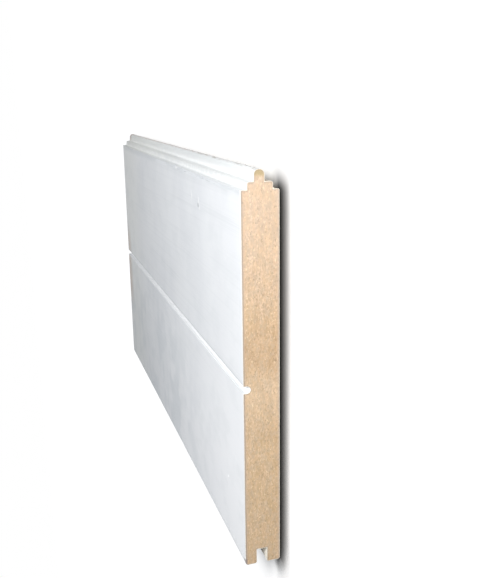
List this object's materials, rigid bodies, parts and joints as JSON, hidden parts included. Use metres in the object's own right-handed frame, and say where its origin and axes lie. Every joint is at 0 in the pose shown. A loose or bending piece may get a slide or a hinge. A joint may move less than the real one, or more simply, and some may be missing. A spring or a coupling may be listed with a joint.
{
  "type": "tongue and groove board",
  "caption": "Primed fibreboard wall board with a channelled plank face. Its tongue edge enters the groove edge of the next board, so that boards line a wall edge to edge.",
  "frame": {"origin": "centre of the board's length and overall width, on its back face, which it lies on", "axes": "+X along the board, +Y across it towards the tongue, +Z out of the channelled face"},
  "size_m": [0.34, 0.1956, 0.018],
  "materials": {
    "primed_fibreboard": "matt off-white factory primer on the milled faces and edges, with both ends sawn across and left bare, in the light tan of raw medium density fibreboard"
  },
  "bodies": {
    "root": {"board": "primed_fibreboard"}
  },
  "joints": []
}
